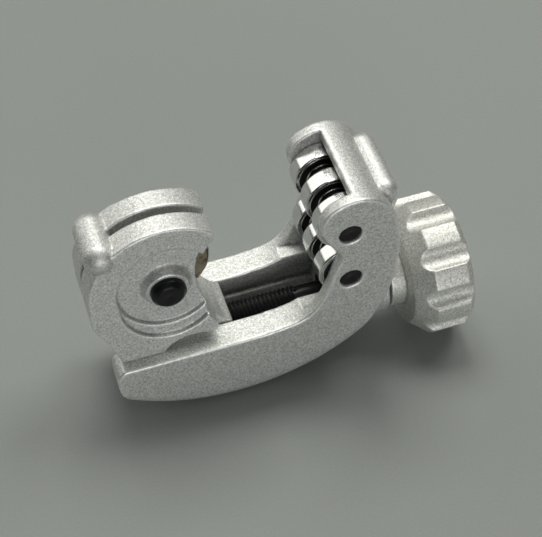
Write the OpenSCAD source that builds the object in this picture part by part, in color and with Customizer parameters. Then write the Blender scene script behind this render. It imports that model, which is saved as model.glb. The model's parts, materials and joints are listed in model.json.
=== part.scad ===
// Screw-fed tube cutter with a die-cast C frame, a sliding cutter carriage
// and two pins that carry three ball-bearing rollers each.
// X runs along the feed screw towards the knob and Z is up. Each piece is drawn
// from the point midway between the two roller pins, and placed() then sets the
// tool on the floor, centred over its length.

/* [Roller head] */
// Distance between the two roller pins
pin_spacing = 14.7; // [13.9:0.1:15.5]
// How far the lower roller pin lies behind the upper one
pin_setback = 0.4; // [0:0.1:1]
// Diameter of a roller pin
pin_d = 5; // [4.6:0.1:5.4]
// Depth of the pin ends below the faces of the head
pin_recess = 0.5; // [0.2:0.1:0.8]
// Width of the head and of the arms together
frame_w = 24.6; // [24:0.1:26]
// Size of the rounded crown of the head, from the upper pin
crown_r = 10; // [9.6:0.1:10.4]
// Distance from the upper pin to the back edge of the window
window_back = 0.7; // [0.2:0.1:1.5]

/* [Bearing rollers] */
// Outer diameter of a bearing
bearing_d = 13; // [12.6:0.1:13.2]
// Width of a bearing
bearing_w = 4; // [3.6:0.1:4.2]
// Width of a spacer between two bearings
spacer_w = 3.4; // [3:0.1:3.6]
// Diameter of a bearing ball
ball_d = 2; // [1.8:0.1:2.1]
// Number of balls in a bearing
ball_count = 7; // [5:1:8]

/* [Arms] */
// Reach of the arms in front of the roller pins
arm_reach = 53.2; // [52:0.2:56]
// Depth of the arm tops below the middle of the rollers
arm_drop = 19.3; // [19:0.1:20]
// Depth of the belly below the middle of the rollers
belly_drop = 39.6; // [39:0.1:40.2]
// Radius of the long belly arc
belly_r = 45.8; // [44:0.2:48]
// Clear width between the arms
slot_w = 11.8; // [11:0.1:12.4]
// Height of the guide groove in each arm
groove_h = 2.8; // [2.4:0.1:3.2]
// Depth of the guide groove in each arm
groove_depth = 1.1; // [0.8:0.1:1.4]
// Radius of the rounded lower edges of the arms
edge_r = 3.5; // [2.5:0.1:4]

/* [Carriage] */
// Distance from the roller pins to the wheel axis, fully open
wheel_reach = 39; // [38:0.1:39.6]
// Depth of the wheel axis below the middle of the rollers
wheel_drop = 1; // [0.5:0.1:1.5]
// Radius of the round carriage body
carriage_r = 17.2; // [16.8:0.1:17.4]
// Half width of the carriage at its top
carriage_half = 6; // [5.8:0.1:6.2]
// Widening of each side for each unit of height
carriage_draft = 0.1; // [0.08:0.01:0.11]
// Width of the slot for the cutter wheel
wheel_slot = 2; // [1.9:0.1:2.4]
// Radius of the recess in each side
recess_r = 11.1; // [10.7:0.1:11.4]
// Depth of the throat into the carriage, measured to the wheel axis
throat_reach = 6.5; // [6.2:0.1:7]
// Radius of the throat
throat_r = 17.3; // [16.5:0.1:19]

/* [Cutter wheel] */
// Diameter of the cutter wheel
wheel_d = 22.4; // [21.6:0.1:22.6]
// Thickness of the cutter wheel
wheel_w = 1.6; // [1.4:0.1:1.7]
// Diameter of the wheel pin
wheel_pin_d = 5; // [4.4:0.1:5.4]
// Diameter of the head of the wheel pin
wheel_pin_head = 7.8; // [7.2:0.1:8.4]

/* [Feed screw and knob] */
// Depth of the screw axis below the middle of the rollers
screw_drop = 25.1; // [24.8:0.1:25.5]
// Outer diameter of the screw thread
screw_d = 6; // [5.6:0.1:6.4]
// Diameter of the plain shank
shank_d = 5.2; // [4.8:0.1:5.4]
// Length of the frame hub that carries the shank
hub_len = 14.4; // [13.4:0.1:15.4]
// Diameter of the knob over its grips
knob_d = 32.2; // [30.6:0.1:33]
// Length of the knob behind its collar
knob_len = 13.8; // [12.4:0.1:15]
// Number of flutes round the knob
flute_count = 10; // [8:2:12]
// Depth of a flute
flute_depth = 1.8; // [1.4:0.1:2.2]

/* [Hidden] */

// Clearances
run_gap = 0.05;
slide_gap = 0.25;
side_gap = 0.1;
press_gap = 0.02;
overrun = 1;

// Roller head
upper_z = pin_spacing / 2;
lower_z = -pin_spacing / 2;
half_w = frame_w / 2;
stack_half = (3 * bearing_w + 2 * spacer_w) / 2;
cheek_half = stack_half + side_gap;
roller_pitch = bearing_w + spacer_w;
pocket_gap = 0.8;
pocket_r = bearing_d / 2 + pocket_gap;
shelf_drop = 17.2;
thumb_r = 3.1;
thumb_half = 9.6;
thumb_angle = 32;
thumb_seat_r = 9.4;
thumb_shift_x = 1.2;
thumb_x = thumb_shift_x + thumb_seat_r * cos(thumb_angle);
thumb_z = upper_z + thumb_seat_r * sin(thumb_angle);

// Arms and hub
slot_half = slot_w / 2;
screw_z = -screw_drop;
hub_front = -2.5;
hub_back = hub_front + hub_len;
hub_d = 16;
ring_pocket = 1.2;

// Carriage
wheel_x = -wheel_reach;
wheel_z = -wheel_drop;
carriage_top = wheel_z + carriage_r;
foot_z = -arm_drop + side_gap;
tongue_h = groove_h - 2 * side_gap;
tongue_half = slot_half + groove_depth - slide_gap;
neck_half = slot_half - slide_gap;
neck_front_reach = 14;
neck_back_reach = 11;
neck_depth = 5.4;
neck_front = wheel_x + neck_front_reach;
neck_back = wheel_x - neck_back_reach;
neck_low = screw_z - neck_depth;
side_angle = atan(carriage_draft);
side_y = carriage_half + carriage_draft * (carriage_top - wheel_z);
recess_depth = 1.9;
recess_up = 0.5;
ledge_r = 10.9;
ledge_depth = 1;
ledge_drop = 2.7;
boss_base_r = 6;
boss_base = 5;
boss_top_r = 4.6;
boss_top = 7.3;
grip_r = 3.6;
grip_half = 7.4;
grip_seat_r = 17.6;
grip_angle = 137;
slot_from_angle = 40;
slot_to_angle = 232;
nose_angle = 50;
throat_top_angle = 138;
throat_low_angle = 205;
foot_reach = 12.2;
relief_offset = 3.3;
pocket_clear = 0.7;
relief_z = -16.2;
relief_r = 7;

// Wheel pin
head_h = 2.2;
head_chamfer = 1;
pin_tail = 1.6;
clip_w = 0.7;
clip_groove = 0.45;
clip_d = 8.6;
wheel_bevel = 0.7;
wheel_edge = 0.1;

// Bearings
race_gap = 0.05;
pitch_r = (pin_d + bearing_d) / 4;
inner_shoulder = pitch_r - 0.42 * ball_d;
outer_shoulder = pitch_r + 0.42 * ball_d;
seal_w = 0.3;
cage_wall = 0.7;
cage_w = 2.8;
ring_chamfer = 0.25;

// Screw and knob
thread_stop_len = 4.5;
thread_back_x = hub_front - thread_stop_len;
screw_front_x = neck_back - overrun;
clip_seat_r = 2.1;
washer_w = 0.6;
washer_d = 12;
collar_d = 15.2;
collar_len = 3.6;
knob_face_d = 24.8;
knob_bevel = 4.4;
knob_end = 1.5;
flute_r = 2.9;
knob_pin_d = 2;
seat_d = 4.8;
pin_turn_angle = 38;

// Arcs of the outlines
flat_angle = 180;
right_angle = 90;
belly_from_angle = 240;
belly_to_angle = 304;
belly_x = -25.8;
belly_z = belly_r - belly_drop;
collar_x = hub_back + washer_w;
knob_x = collar_x + collar_len;
rim_x = knob_x + knob_len - knob_end;

// Outline helpers: an arc, and a smooth closed curve through given points
function arc(c, r, a0, a1, n) =
    [for (i = [0 : n]) c + r * [cos(a0 + (a1 - a0) * i / n), sin(a0 + (a1 - a0) * i / n)]];
function blend(a, b, c, d, t) =
    (2 * b + (c - a) * t + (2 * a - 5 * b + 4 * c - d) * t * t
    + (3 * b - a - 3 * c + d) * t * t * t) / 2;
function smooth(p, steps) =
    [for (i = [0 : len(p) - 1], k = [0 : steps - 1])
        blend(p[(i + len(p) - 1) % len(p)], p[i], p[(i + 1) % len(p)],
            p[(i + 2) % len(p)], k / steps)];

// Sets the tool on the floor, where it stands on the two grips beside the
// lowest flute, and centres it over its length
module placed() {
    r = knob_d / 2;
    axis = r - flute_depth + flute_r;
    grip_low = (r * r + axis * axis - flute_r * flute_r) / (2 * axis);
    translate([centre_x, 0, grip_low - screw_z])
        children();
}

// A flat plate across the tool from an outline in X and Z
module cross_plate(half) {
    translate([0, half, 0])
        rotate([90, 0, 0])
            linear_extrude(2 * half)
                children();
}

// A rod along Y, from one place across the tool to another
module cross_rod(x, z, r, y0, y1) {
    translate([x, y1, z])
        rotate([90, 0, 0])
            cylinder(r = r, h = y1 - y0, $fn = 96);
}

// A rod along X on the screw axis
module screw_rod(r, x0, x1) {
    translate([x0, 0, screw_z])
        rotate([0, 90, 0])
            cylinder(r = r, h = x1 - x0, $fn = 96);
}

// A bar with round ends across the tool
module thumb_bar(x, z, r, half) {
    cross_rod(x, z, r, r - half, half - r);
    for (side = [-1, 1])
        translate([x, side * (half - r), z])
            sphere(r = r, $fn = 64);
}

// The frame's outline, counter-clockwise from the back of the crown
crown_shares = [[1.06, 0.02], [0.98, 0.37], [0.81, 0.67], [0.53, 0.91], [0.17, 1.02],
    [-0.2, 0.95], [-0.5, 0.76], [-0.63, 0.45], [-0.6, 0.13], [-0.43, -0.24], [-0.24, -0.53]];
jaw_shares = [[-0.19, 0.7], [-0.34, 0.34], [-0.48, -0.15], [-0.67, -0.6], [-0.91, -0.92]];
top_shares = [[0.235, 0.943], [0.34, 0.985], [0.42, 1], [0.66, 1], [0.945, 1],
    [0.962, 1.008], [0.987, 1.045], [0.999, 1.13], [1, 1.27]];
end_shares = [[1, 0.63], [0.992, 0.697], [0.972, 0.758], [0.95, 0.808], [0.93, 0.86]];
back_shares = [[-0.04, 0.77], [-0.115, 0.575], [-0.175, 0.4], [-0.207, 0.17], [-0.214, -0.013]];
frame_outline = smooth(concat(
    [for (s = crown_shares) [s[0] * crown_r, upper_z + s[1] * crown_r]],
    [for (s = jaw_shares) [s[0] * crown_r, lower_z + s[1] * crown_r]],
    [for (s = top_shares) [-s[0] * arm_reach, -s[1] * arm_drop]],
    [for (s = end_shares) [-s[0] * arm_reach, -s[1] * belly_drop]],
    arc([belly_x, belly_z], belly_r + overrun, belly_from_angle, belly_to_angle, 6),
    [for (s = back_shares) [-s[0] * arm_reach, -s[1] * belly_drop]]), 4);

// The casting: its outline, trimmed by a disc whose rim rounds the belly
module casting() {
    intersection() {
        cross_plate(half_w)
            polygon(frame_outline);
        translate([belly_x, 0, belly_z])
            rotate([90, 0, 0])
                rotate_extrude($fn = 180) {
                    translate([0, -half_w])
                        square([belly_r - edge_r, frame_w]);
                    translate([0, edge_r - half_w])
                        square([belly_r, frame_w - 2 * edge_r]);
                    for (side = [-1, 1])
                        translate([belly_r - edge_r, side * (half_w - edge_r)])
                            circle(r = edge_r, $fn = 48);
                }
    }
}

module frame() {
    color([0.78, 0.78, 0.76])
    difference() {
        union() {
            casting();
            screw_rod(hub_d / 2, hub_front, hub_back);
            thumb_bar(thumb_x, thumb_z, thumb_r, thumb_half);
        }
        slot_cut();
        roller_pocket();
        // Pin bores through both cheeks
        cross_rod(0, upper_z, pin_d / 2 + run_gap, -half_w - overrun, half_w + overrun);
        cross_rod(pin_setback, lower_z, pin_d / 2 + run_gap, -half_w - overrun, half_w + overrun);
        // Shank bore and the pocket for its retaining ring
        screw_rod(shank_d / 2 + run_gap, hub_front - overrun, hub_back + overrun);
        screw_rod(clip_d / 2 + slide_gap, hub_front - overrun, hub_front + ring_pocket);
    }
}

// The slot between the arms with a guide groove in each wall
module slot_cut() {
    length = arm_reach + hub_front + overrun;
    depth = belly_drop - shelf_drop + 2 * overrun;
    translate([-arm_reach - overrun, -slot_half, -belly_drop - overrun])
        cube([length, slot_w, depth]);
    translate([-arm_reach - overrun, -slot_half - groove_depth, screw_z - groove_h / 2])
        cube([length, slot_w + 2 * groove_depth, groove_h]);
}

// The space for the rollers: open in front and above, with a rounded back
module roller_pocket() {
    height = upper_z + crown_r + shelf_drop + overrun;
    front = crown_r + arm_drop;
    translate([-front, -cheek_half, -shelf_drop])
        cube([front + window_back, 2 * cheek_half, height]);
    cross_rod(0, upper_z, pocket_r, -cheek_half, cheek_half);
    cross_rod(pin_setback, lower_z, pocket_r, -cheek_half, cheek_half);
    translate([0, -cheek_half, lower_z])
        cube([pocket_r - pocket_gap, 2 * cheek_half, pin_spacing]);
}

module roller_pin(x, z) {
    color([0.1, 0.1, 0.1])
    cross_rod(x, z, pin_d / 2, pin_recess - half_w, half_w - pin_recess);
}

module spacers(x, z) {
    color([0.08, 0.08, 0.08])
    for (side = [-1, 1])
        difference() {
            cross_rod(x, z, inner_shoulder, side * roller_pitch / 2 - spacer_w / 2,
                side * roller_pitch / 2 + spacer_w / 2);
            cross_rod(x, z, pin_d / 2 + run_gap, -half_w, half_w);
        }
}

// A ring about an axis along Y, from its half section in radius and width
module turned(x, y, z) {
    translate([x, y, z])
        rotate([90, 0, 0])
            rotate_extrude($fn = 96)
                children();
}

module race_groove() {
    translate([pitch_r, 0])
        circle(r = ball_d / 2 + race_gap, $fn = 48);
}

module outer_ring(x, y, z) {
    r = bearing_d / 2;
    w = bearing_w / 2;
    color([0.82, 0.82, 0.83])
    turned(x, y, z)
        difference() {
            polygon([[outer_shoulder, -w], [r - ring_chamfer, -w], [r, ring_chamfer - w],
                [r, w - ring_chamfer], [r - ring_chamfer, w], [outer_shoulder, w]]);
            race_groove();
        }
}

module inner_ring(x, y, z) {
    r = pin_d / 2 + press_gap;
    color([0.75, 0.75, 0.76])
    turned(x, y, z)
        difference() {
            translate([r, -bearing_w / 2])
                square([inner_shoulder - r, bearing_w]);
            race_groove();
        }
}

module balls(x, y, z) {
    color([0.85, 0.85, 0.86])
    translate([x, y, z])
        for (i = [0 : ball_count - 1])
            rotate([0, 360 * i / ball_count, 0])
                translate([pitch_r, 0, 0])
                    sphere(r = ball_d / 2, $fn = 32);
}

module cage(x, y, z) {
    color([0.6, 0.55, 0.45])
    difference() {
        turned(x, y, z)
            translate([pitch_r - cage_wall / 2, -cage_w / 2])
                square([cage_wall, cage_w]);
        translate([x, y, z])
            for (i = [0 : ball_count - 1])
                rotate([0, 360 * i / ball_count, 0])
                    translate([pitch_r - cage_wall, 0, 0])
                        rotate([0, 90, 0])
                            cylinder(r = ball_d / 2 + race_gap, h = 2 * cage_wall, $fn = 32);
    }
}

module seals(x, y, z) {
    from = inner_shoulder + side_gap;
    color([0.07, 0.07, 0.07])
    for (side = [-1, 1])
        turned(x, y + side * (bearing_w - seal_w) / 2, z)
            translate([from, -seal_w / 2])
                square([outer_shoulder - press_gap - from, seal_w]);
}

module feed_screw() {
    clip_x = hub_front + ring_pocket / 2;
    color([0.12, 0.12, 0.12])
    difference() {
        union() {
            screw_rod(screw_d / 2, screw_front_x, thread_back_x);
            screw_rod(shank_d / 2, thread_back_x, collar_x);
            screw_rod(seat_d / 2, collar_x, rim_x);
        }
        // Groove for the retaining ring
        difference() {
            screw_rod(screw_d, clip_x - clip_w / 2, clip_x + clip_w / 2);
            screw_rod(clip_seat_r, clip_x - clip_w, clip_x + clip_w);
        }
        knob_pin_hole(knob_pin_d / 2 + press_gap);
    }
}

// The cross pin's bore, turned with the knob about the screw axis
module knob_pin_hole(r) {
    translate([collar_x + collar_len / 2, 0, screw_z])
        rotate([pin_turn_angle, 0, 0])
            cross_rod(0, 0, r, -collar_d, collar_d);
}

module knob_pin() {
    half = collar_d / 2 - 2 * pin_recess;
    color([0.2, 0.2, 0.2])
    translate([collar_x + collar_len / 2, 0, screw_z])
        rotate([pin_turn_angle, 0, 0])
            cross_rod(0, 0, knob_pin_d / 2, -half, half);
}

module screw_ring() {
    clip_x = hub_front + ring_pocket / 2;
    lip = clip_w / 2 - side_gap;
    color([0.15, 0.15, 0.15])
    difference() {
        screw_rod(clip_d / 2, clip_x - lip, clip_x + lip);
        screw_rod(clip_seat_r + run_gap, clip_x - clip_w, clip_x + clip_w);
    }
}

module thrust_washer() {
    color([0.16, 0.16, 0.16])
    difference() {
        screw_rod(washer_d / 2, hub_back, collar_x);
        screw_rod(shank_d / 2 + run_gap, hub_back - overrun, collar_x + overrun);
    }
}

// The knob is turned from one profile and fluted all round
module knob() {
    r = knob_d / 2;
    color([0.78, 0.77, 0.74])
    difference() {
        translate([collar_x, 0, screw_z])
            rotate([0, 90, 0])
                rotate_extrude($fn = 120)
                    polygon([[0, 0], [collar_d / 2, 0], [collar_d / 2, collar_len],
                        [knob_face_d / 2, collar_len], [r, collar_len + knob_bevel],
                        [r, collar_len + knob_len - knob_end],
                        [r - knob_end, collar_len + knob_len], [0, collar_len + knob_len]]);
        for (i = [0 : flute_count - 1])
            translate([knob_x - overrun, 0, screw_z])
                rotate([360 * i / flute_count, 0, 0])
                    translate([0, 0, r + flute_r - flute_depth])
                        rotate([0, 90, 0])
                            cylinder(r = flute_r, h = knob_len + 2 * overrun, $fn = 48);
        screw_rod(seat_d / 2 + press_gap, collar_x - overrun, rim_x + press_gap);
        knob_pin_hole(knob_pin_d / 2 + press_gap);
    }
}

// The carriage's outline, counter-clockwise from its nose
throat_centre = [wheel_x + throat_reach + throat_r, wheel_z];
left_shares = [[1, 0.35], [0.94, 0.455], [0.85, 0.64]];
relief_x = wheel_x + relief_offset;
relief_side_angle = asin((foot_z - relief_z + relief_r) / relief_r);
lip_shares = [[0.53, 0.9], [0.575, 0.88], [0.587, 0.84], [0.553, 0.755], [0.49, 0.64],
    [0.455, 0.505]];
carriage_front = wheel_x + lip_shares[2][0] * carriage_r;
lip_z = wheel_z - lip_shares[2][1] * carriage_r;
carriage_outline = concat(
    arc([wheel_x, wheel_z], carriage_r, nose_angle, flat_angle, 40),
    [for (s = left_shares) [wheel_x - s[0] * carriage_r, wheel_z - s[1] * carriage_r]],
    [[wheel_x - foot_reach, foot_z]],
    arc([relief_x, relief_z - relief_r], relief_r, flat_angle - relief_side_angle, right_angle, 6),
    [for (s = lip_shares) [wheel_x + s[0] * carriage_r, wheel_z - s[1] * carriage_r]],
    arc(throat_centre, throat_r, throat_low_angle, throat_top_angle, 20));

module carriage() {
    color([0.8, 0.8, 0.78])
    union() {
        difference() {
            union() {
                body();
                neck();
            }
            carriage_sides();
            wheel_slot_cut();
            cross_rod(wheel_x, wheel_z, wheel_pin_d / 2 + run_gap, -half_w, half_w);
            screw_rod(screw_d / 2 + run_gap, neck_back - overrun, neck_front + overrun);
        }
        thumb_bar(wheel_x + grip_seat_r * cos(grip_angle), wheel_z + grip_seat_r * sin(grip_angle),
            grip_r, grip_half);
    }
}

// The carriage body: its outline, with both sides leaning out downwards
module body() {
    low_half = carriage_half + carriage_draft * (carriage_top - foot_z);
    low_z = foot_z - overrun;
    intersection() {
        cross_plate(half_w)
            polygon(carriage_outline);
        translate([wheel_x - 2 * carriage_r, 0, 0])
            rotate([90, 0, 90])
                linear_extrude(4 * carriage_r)
                    polygon([[-low_half, foot_z], [-low_half, low_z], [low_half, low_z],
                        [low_half, foot_z], [carriage_half, carriage_top],
                        [carriage_half, carriage_top + overrun],
                        [-carriage_half, carriage_top + overrun],
                        [-carriage_half, carriage_top]]);
    }
}

// The recess and the lower crescent in each leaning side, with the boss left standing
module carriage_sides() {
    for (side = [-1, 1])
        mirror([0, side > 0 ? 0 : 1, 0])
            difference() {
                union() {
                    sunk_disc(recess_r, recess_depth, recess_up);
                    sunk_disc(ledge_r, ledge_depth, -ledge_drop);
                }
                translate([wheel_x, boss_base, wheel_z])
                    rotate([-90, 0, 0])
                        cylinder(r1 = boss_base_r, r2 = boss_top_r, h = boss_top - boss_base,
                            $fn = 96);
            }
}

// A disc sunk square to the leaning side, with its centre up from the wheel's axis
module sunk_disc(r, depth, rise) {
    translate([wheel_x, side_y - carriage_draft * rise, wheel_z + rise])
        rotate([side_angle - 90, 0, 0])
            translate([0, 0, -depth])
                cylinder(r = r, h = carriage_r, $fn = 120);
}

// The slot that the wheel runs in, open to the rim from the nose to the back
module wheel_slot_cut() {
    pocket = wheel_d / 2 + pocket_clear;
    reach = carriage_r + overrun;
    cross_rod(wheel_x, wheel_z, pocket, -wheel_slot / 2, wheel_slot / 2);
    translate([wheel_x, wheel_slot / 2, wheel_z])
        rotate([90, 0, 0])
            linear_extrude(wheel_slot)
                difference() {
                    polygon(concat([[0, 0]], arc([0, 0], reach + overrun, slot_from_angle,
                        slot_to_angle, 24)));
                    circle(r = pocket - overrun, $fn = 96);
                }
}

// The block between the arms that the screw drives, with a tongue on each side
module neck() {
    cross_plate(neck_half)
        polygon([[neck_back, neck_low], [neck_front, neck_low], [neck_front, foot_z],
            [(neck_front + carriage_front) / 2, (2 * foot_z + lip_z) / 3],
            [carriage_front, lip_z], [wheel_x, relief_z + relief_r], [neck_back, foot_z]]);
    translate([neck_back, -tongue_half, screw_z - tongue_h / 2])
        cube([neck_front - neck_back, 2 * tongue_half, tongue_h]);
}

module cutter_wheel() {
    r = wheel_d / 2;
    w = wheel_w / 2;
    bore = wheel_pin_d / 2 + run_gap;
    color([0.55, 0.47, 0.3])
    turned(wheel_x, 0, wheel_z)
        polygon([[bore, -w], [r - wheel_bevel, -w], [r, -wheel_edge], [r, wheel_edge],
            [r - wheel_bevel, w], [bore, w]]);
}

module wheel_pin() {
    tail = boss_top + pin_tail;
    color([0.09, 0.09, 0.09])
    difference() {
        union() {
            cross_rod(wheel_x, wheel_z, wheel_pin_d / 2, -boss_top, tail);
            turned(wheel_x, -boss_top - head_h / 2, wheel_z)
                polygon([[0, -head_h / 2], [wheel_pin_head / 2, -head_h / 2],
                    [wheel_pin_head / 2, head_h / 2 - head_chamfer],
                    [wheel_pin_head / 2 - head_chamfer, head_h / 2], [0, head_h / 2]]);
        }
        difference() {
            cross_rod(wheel_x, wheel_z, wheel_pin_d, boss_top + side_gap,
                boss_top + side_gap + clip_w);
            cross_rod(wheel_x, wheel_z, wheel_pin_d / 2 - clip_groove, 0, tail);
        }
    }
}

module wheel_pin_ring() {
    color([0.15, 0.15, 0.15])
    difference() {
        cross_rod(wheel_x, wheel_z, clip_d / 2, boss_top + side_gap + press_gap,
            boss_top + side_gap + clip_w - press_gap);
        cross_rod(wheel_x, wheel_z, wheel_pin_d / 2 - clip_groove + run_gap, 0, half_w);
    }
}

// Shift that centres the tool over its length
centre_x = -(wheel_x - carriage_r + knob_x + knob_len) / 2;

// One bearing of five pieces, named by its pin and its place on it
module bearing_piece(piece, pin, place) {
    x = pin == "upper" ? 0 : pin_setback;
    z = pin == "upper" ? upper_z : lower_z;
    y = place == "near" ? -roller_pitch : place == "far" ? roller_pitch : 0;
    if (piece == "outer_ring") outer_ring(x, y, z);
    if (piece == "inner_ring") inner_ring(x, y, z);
    if (piece == "balls") balls(x, y, z);
    if (piece == "cage") cage(x, y, z);
    if (piece == "seals") seals(x, y, z);
}

placed() frame();
placed() roller_pin(0, upper_z);  // upper_pin
placed() roller_pin(pin_setback, lower_z);  // lower_pin
placed() spacers(0, upper_z);  // upper_spacers
placed() spacers(pin_setback, lower_z);  // lower_spacers
placed() feed_screw();
placed() knob();
placed() knob_pin();
placed() thrust_washer();
placed() screw_ring();
placed() carriage();
placed() cutter_wheel();
placed() wheel_pin();
placed() wheel_pin_ring();
for (pin = ["upper", "lower"], place = ["near", "mid", "far"])
    for (piece = ["outer_ring", "inner_ring", "balls", "cage", "seals"])
        placed() bearing_piece(piece, pin, place);
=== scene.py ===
"""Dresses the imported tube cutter: cast bodies, bearings, screw, wheel, pins and studio."""

import json
import math

import bmesh
import bpy
import numpy as np
from bpy.props import FloatProperty, FloatVectorProperty, IntProperty, PointerProperty
from mathutils import Matrix, Quaternion, Vector


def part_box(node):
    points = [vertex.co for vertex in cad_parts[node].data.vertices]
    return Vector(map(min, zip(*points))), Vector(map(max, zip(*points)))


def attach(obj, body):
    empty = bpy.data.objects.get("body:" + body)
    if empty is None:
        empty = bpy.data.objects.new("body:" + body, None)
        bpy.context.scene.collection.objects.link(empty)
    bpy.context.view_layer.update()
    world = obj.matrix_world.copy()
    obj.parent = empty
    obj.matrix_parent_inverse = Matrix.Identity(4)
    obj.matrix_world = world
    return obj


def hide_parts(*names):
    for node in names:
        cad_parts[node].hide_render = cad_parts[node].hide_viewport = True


bl_info = {
    "name": "Tube Cutter",
    "version": (1, 0, 0),
    "blender": (4, 5, 0),
    "location": "View3D > Sidebar > Tube Cutter",
    "description": "Cast bodies, bearings, screw, wheel and studio of a tube cutter",
    "category": "Object",
}

MM = 0.001

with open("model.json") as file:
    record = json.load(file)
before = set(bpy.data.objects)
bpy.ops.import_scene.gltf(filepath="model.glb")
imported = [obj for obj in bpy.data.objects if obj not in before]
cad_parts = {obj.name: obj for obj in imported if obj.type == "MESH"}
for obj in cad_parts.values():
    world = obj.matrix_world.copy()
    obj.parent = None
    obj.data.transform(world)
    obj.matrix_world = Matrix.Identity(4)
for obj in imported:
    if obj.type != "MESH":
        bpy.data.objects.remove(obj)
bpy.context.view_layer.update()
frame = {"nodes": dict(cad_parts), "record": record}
joint_at = {
    joint["name"]: Vector(joint["pos_m"]) for joint in frame["record"]["behaviour"]["joints"]
}
wheel_axis = joint_at["wheel_spin"]
screw_axis = joint_at["knob_turn"]
ROWS = ("upper", "lower")
PLACES = ("near", "mid", "far")

# Lamp colours
WARM = (1.0, 0.995, 0.945)
WHITE = (1.0, 1.0, 1.0)

# Points closer than this are merged
WELD = 0.002 * MM
CAD_WELD = 0.001 * MM

# A step too small to see, which keeps surfaces from lying in each other
HAIR = 0.02 * MM

# Radii that several pieces share
PIN_BORE = 2.56 * MM
RING_INSIDE = 5.34 * MM


# Sizes and colours that a user would change


class CastingSettings(bpy.types.PropertyGroup):
    """Sizes and colours of the cast bodies."""

    frame_grid: FloatProperty(
        name="Frame grid", description="Spacing of the frame's rounded skin",
        default=0.355 * MM, min=0.2 * MM, max=1 * MM, unit="LENGTH", precision=6)
    carriage_grid: FloatProperty(
        name="Carriage grid", description="Spacing of the carriage's rounded skin",
        default=0.28 * MM, min=0.2 * MM, max=1 * MM, unit="LENGTH", precision=6)
    knob_grid: FloatProperty(
        name="Knob grid", description="Spacing of the knob's rounded skin",
        default=0.24 * MM, min=0.2 * MM, max=1 * MM, unit="LENGTH", precision=6)
    rounding: IntProperty(
        name="Rounding passes", description="How often the cast edges are softened",
        default=2, min=0, max=20)
    # Reach of the painted edge highlights with wear and of the painted crease shade with grime
    edge_and_crease_reach: IntProperty(
        name="Edge and crease reach", description="How far bright edges and dark grooves reach",
        default=9, min=1, max=20)
    paint: FloatVectorProperty(
        name="Cast silver", description="Colour of the frame and the carriage",
        default=(0.66, 0.67, 0.65), size=3, min=0, max=1, subtype="COLOR")
    knob_paint: FloatVectorProperty(
        name="Knob silver", description="Colour of the knob",
        default=(0.68, 0.685, 0.645), size=3, min=0, max=1, subtype="COLOR")
    grain: FloatProperty(
        name="Grain size", description="Size of one grain of the sandy skin",
        default=0.2 * MM, min=0.05 * MM, max=2 * MM, unit="LENGTH", precision=5)


class ScrewSettings(bpy.types.PropertyGroup):
    """Sizes of the feed screw."""

    pitch: FloatProperty(
        name="Thread pitch", description="Travel of the carriage for one turn",
        default=1 * MM, min=0.5 * MM, max=2 * MM, unit="LENGTH", precision=5)
    depth: FloatProperty(
        name="Thread depth", description="Depth of the thread below the screw's outside",
        default=0.52 * MM, min=0.1 * MM, max=1 * MM, unit="LENGTH", precision=5)
    steel: FloatVectorProperty(
        name="Black steel", description="Colour of the blackened steel pieces",
        default=(0.007, 0.007, 0.0075), size=3, min=0, max=1, subtype="COLOR")


class BearingSettings(bpy.types.PropertyGroup):
    """Sizes and colours of the bearing rollers."""

    rim_round: FloatProperty(
        name="Rim rounding", description="Radius of the outer ring's rounded rims",
        default=0.2 * MM, min=0.05 * MM, max=0.4 * MM, unit="LENGTH", precision=5)
    bead: FloatProperty(
        name="Lip bead", description="Radius of the bright bead round each seal",
        default=0.13 * MM, min=0.05 * MM, max=0.2 * MM, unit="LENGTH", precision=5)
    seal_recess: FloatProperty(
        name="Seal recess", description="Depth of a seal below the ring's face",
        default=0.16 * MM, min=0, max=0.5 * MM, unit="LENGTH", precision=5)
    steel: FloatVectorProperty(
        name="Polished steel", description="Colour of the polished rings",
        default=(0.72, 0.72, 0.71), size=3, min=0, max=1, subtype="COLOR")
    seal: FloatVectorProperty(
        name="Seal rubber", description="Colour of the seals",
        default=(0.012, 0.012, 0.012), size=3, min=0, max=1, subtype="COLOR")


class WheelSettings(bpy.types.PropertyGroup):
    """Sizes and colours of the cutter wheel."""

    edge_land: FloatProperty(
        name="Edge land", description="Width of the ground edge beside the rim",
        default=0.7 * MM, min=0.1 * MM, max=2 * MM, unit="LENGTH", precision=5)
    steel: FloatVectorProperty(
        name="Wheel steel", description="Olive colour of the wheel's sides",
        default=(0.34, 0.31, 0.22), size=3, min=0, max=1, subtype="COLOR")
    heat: FloatVectorProperty(
        name="Heat tint", description="Brown stains that hardening left on the sides",
        default=(0.16, 0.10, 0.05), size=3, min=0, max=1, subtype="COLOR")
    ground: FloatVectorProperty(
        name="Ground edge", description="Colour of the ground cutting edge",
        default=(0.16, 0.155, 0.14), size=3, min=0, max=1, subtype="COLOR")


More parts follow.
